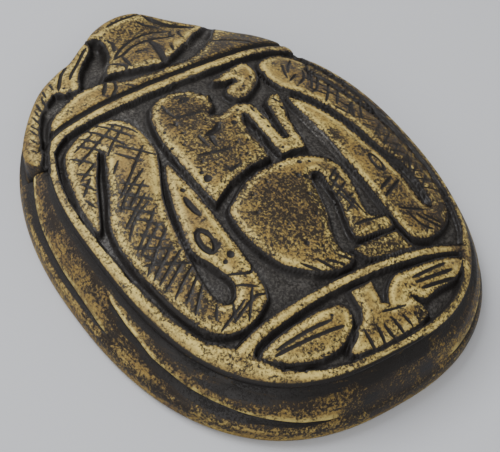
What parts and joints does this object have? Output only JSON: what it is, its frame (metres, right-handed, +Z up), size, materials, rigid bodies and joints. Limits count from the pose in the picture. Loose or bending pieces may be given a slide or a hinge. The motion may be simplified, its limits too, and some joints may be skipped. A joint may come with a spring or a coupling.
{
  "type": "scarab amulet",
  "caption": "Large carved stone scarab lying on its flat oval base, with a picture of cobras and a squatting figure sunk into its domed back.",
  "frame": {"origin": "on the flat underside, below the middle of the whole outline", "axes": "+Y to the beetle's head, +X to its right side, +Z up out of the carved back"},
  "size_m": [0.0782, 0.097, 0.0183],
  "materials": {
    "steatite": "rubbed, with dark patina in the carving"
  },
  "bodies": {
    "root": {"scarab": "steatite"}
  },
  "joints": []
}
